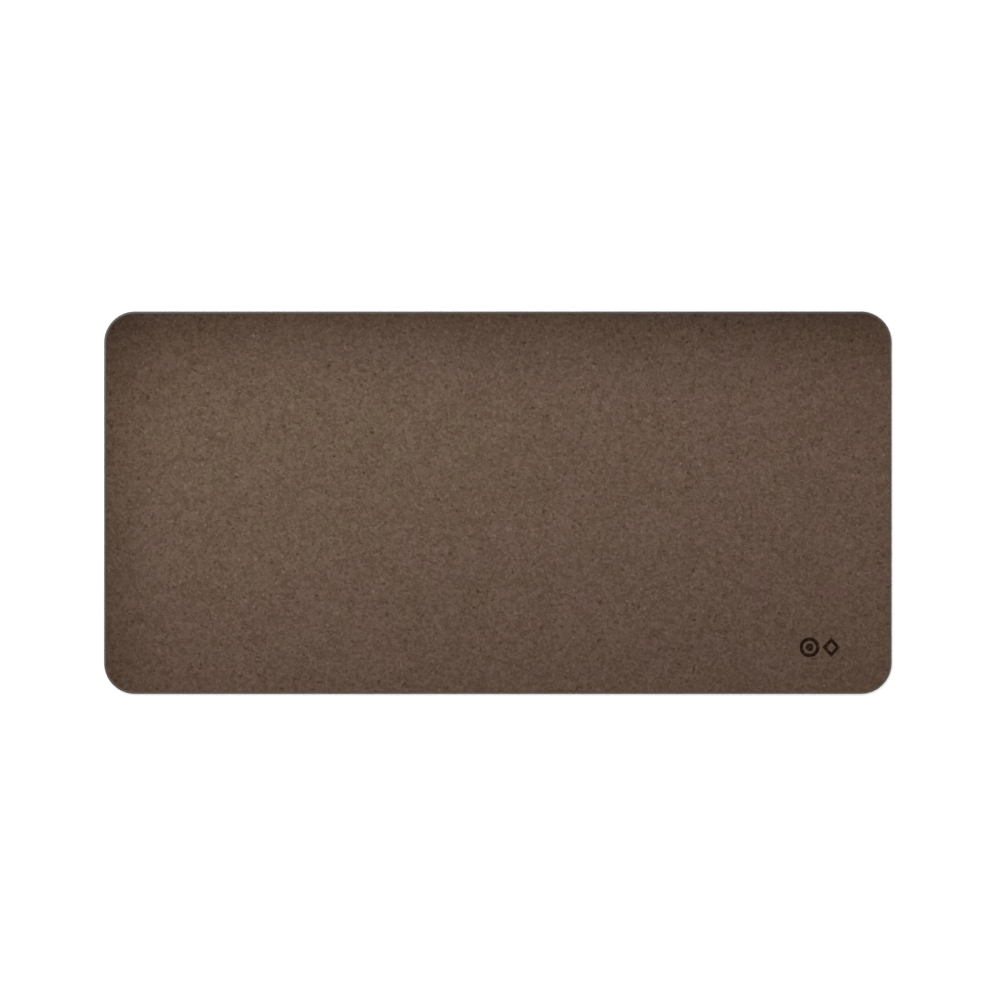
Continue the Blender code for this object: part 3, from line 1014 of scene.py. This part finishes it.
def build_studio(studio):
    scene = bpy.context.scene
    scene.view_settings.view_transform = "Standard"
    scene.view_settings.look = "None"

    place = (0.0, 0.0, CAD_LOW.z)
    floor = add(bpy.ops.mesh.primitive_plane_add, "studio_floor", size=FLOOR_SIZE, location=place)
    bpy.ops.mesh.bevel(offset=FLOOR_CORNER, segments=FLOOR_CORNER_STEPS, affect="VERTICES")
    leave_edit()
    floor.data.materials.append(floor_finish(studio))

    world = bpy.data.worlds.new("even_white")
    world.use_nodes = True
    sky = world.node_tree.nodes["Background"]
    sky.inputs["Color"].default_value = (1.0, 1.0, 1.0, 1.0)
    sky.inputs["Strength"].default_value = studio.sky
    scene.world = world

    lamp = bpy.data.lights.new("softbox", "AREA")
    lamp.energy = studio.softbox_power
    lamp.shape = "RECTANGLE"
    lamp.size, lamp.size_y = SOFTBOX_SIZE
    softbox = bpy.data.objects.new("softbox", lamp)
    softbox.location = studio.softbox_place
    softbox.rotation_euler = (-softbox.location).to_track_quat("-Z", "Y").to_euler()
    softbox.visible_camera = False
    scene.collection.objects.link(softbox)

    lens = bpy.data.cameras.new("camera_above")
    lens.lens = studio.lens
    lens.clip_start, lens.clip_end = 0.01, 100.0
    camera = bpy.data.objects.new("camera_above", lens)
    distance = studio.view_width * studio.lens / lens.sensor_width
    camera.location = (*studio.camera_offset, CORK_HIGH.z + distance)
    scene.collection.objects.link(camera)
    scene.camera = camera


# ---------------------------------------------------------------- operators and panel


class DESKMAT_OT_studio(bpy.types.Operator):
    """Sets the pale floor, the softbox, the white surround and the camera over the mat"""
    bl_idname = "desk_mat.studio"
    bl_label = "Studio"

    def execute(self, context):
        build_studio(context.scene.mat_studio)
        return {"FINISHED"}


class DESKMAT_OT_grip_base(bpy.types.Operator):
    """Models the rubber base with its grip pads"""
    bl_idname = "desk_mat.grip_base"
    bl_label = "Grip base"

    def execute(self, context):
        build_grip_base(context.scene.mat_grip)
        return {"FINISHED"}


class DESKMAT_OT_backing_cloth(bpy.types.Operator):
    """Models the woven backing cloth"""
    bl_idname = "desk_mat.backing_cloth"
    bl_label = "Backing cloth"

    def execute(self, context):
        build_backing_cloth(context.scene.mat_cloth)
        return {"FINISHED"}


class DESKMAT_OT_bond_films(bpy.types.Operator):
    """Gives the two hot-melt bond films their finish"""
    bl_idname = "desk_mat.bond_films"
    bl_label = "Bond films"

    def execute(self, context):
        build_bond_films(context.scene.mat_cloth)
        return {"FINISHED"}


class DESKMAT_OT_cork_sheet(bpy.types.Operator):
    """Models the cork work surface with the pockets that the mark was pressed into"""
    bl_idname = "desk_mat.cork_sheet"
    bl_label = "Cork sheet"

    def execute(self, context):
        build_cork_sheet(context.scene.mat_cork, context.scene.mat_mark)
        return {"FINISHED"}


class DESKMAT_OT_mark_foils(bpy.types.Operator):
    """Models the pigment foils of the pressed mark"""
    bl_idname = "desk_mat.mark_foils"
    bl_label = "Mark foils"

    def execute(self, context):
        build_mark_foils(context.scene.mat_mark, context.scene.mat_cork)
        return {"FINISHED"}


class DESKMAT_OT_edge_bead(bpy.types.Operator):
    """Models the flexible coat that closes the cut edge"""
    bl_idname = "desk_mat.edge_bead"
    bl_label = "Edge bead"

    def execute(self, context):
        build_edge_bead(context.scene.mat_bead)
        return {"FINISHED"}


OPERATORS = (
    DESKMAT_OT_studio,
    DESKMAT_OT_grip_base,
    DESKMAT_OT_backing_cloth,
    DESKMAT_OT_bond_films,
    DESKMAT_OT_cork_sheet,
    DESKMAT_OT_mark_foils,
    DESKMAT_OT_edge_bead,
)


class DESKMAT_PT_sidebar(bpy.types.Panel):
    """Lists the steps of the mat, and the settings of each"""
    bl_idname = "DESKMAT_PT_sidebar"
    bl_label = "Desk mat"
    bl_space_type = "VIEW_3D"
    bl_region_type = "UI"
    bl_category = "Desk mat"

    def draw(self, context):
        for operator in OPERATORS:
            self.layout.operator(operator.bl_idname)
        for name, settings in SETTINGS.items():
            box = self.layout.box()
            for setting in settings.__annotations__:
                box.prop(getattr(context.scene, name), setting)


CLASSES = (*SETTINGS.values(), *OPERATORS, DESKMAT_PT_sidebar)


def register():
    for made in CLASSES:
        bpy.utils.register_class(made)
    for name, settings in SETTINGS.items():
        setattr(bpy.types.Scene, name, bpy.props.PointerProperty(type=settings))


def unregister():
    for name in SETTINGS:
        delattr(bpy.types.Scene, name)
    for made in reversed(CLASSES):
        bpy.utils.unregister_class(made)


def main():
    register()
    bpy.ops.desk_mat.studio()
    bpy.ops.desk_mat.grip_base()
    bpy.ops.desk_mat.backing_cloth()
    bpy.ops.desk_mat.bond_films()
    bpy.ops.desk_mat.cork_sheet()
    bpy.ops.desk_mat.mark_foils()
    bpy.ops.desk_mat.edge_bead()


if __name__ == "__main__":
    main()
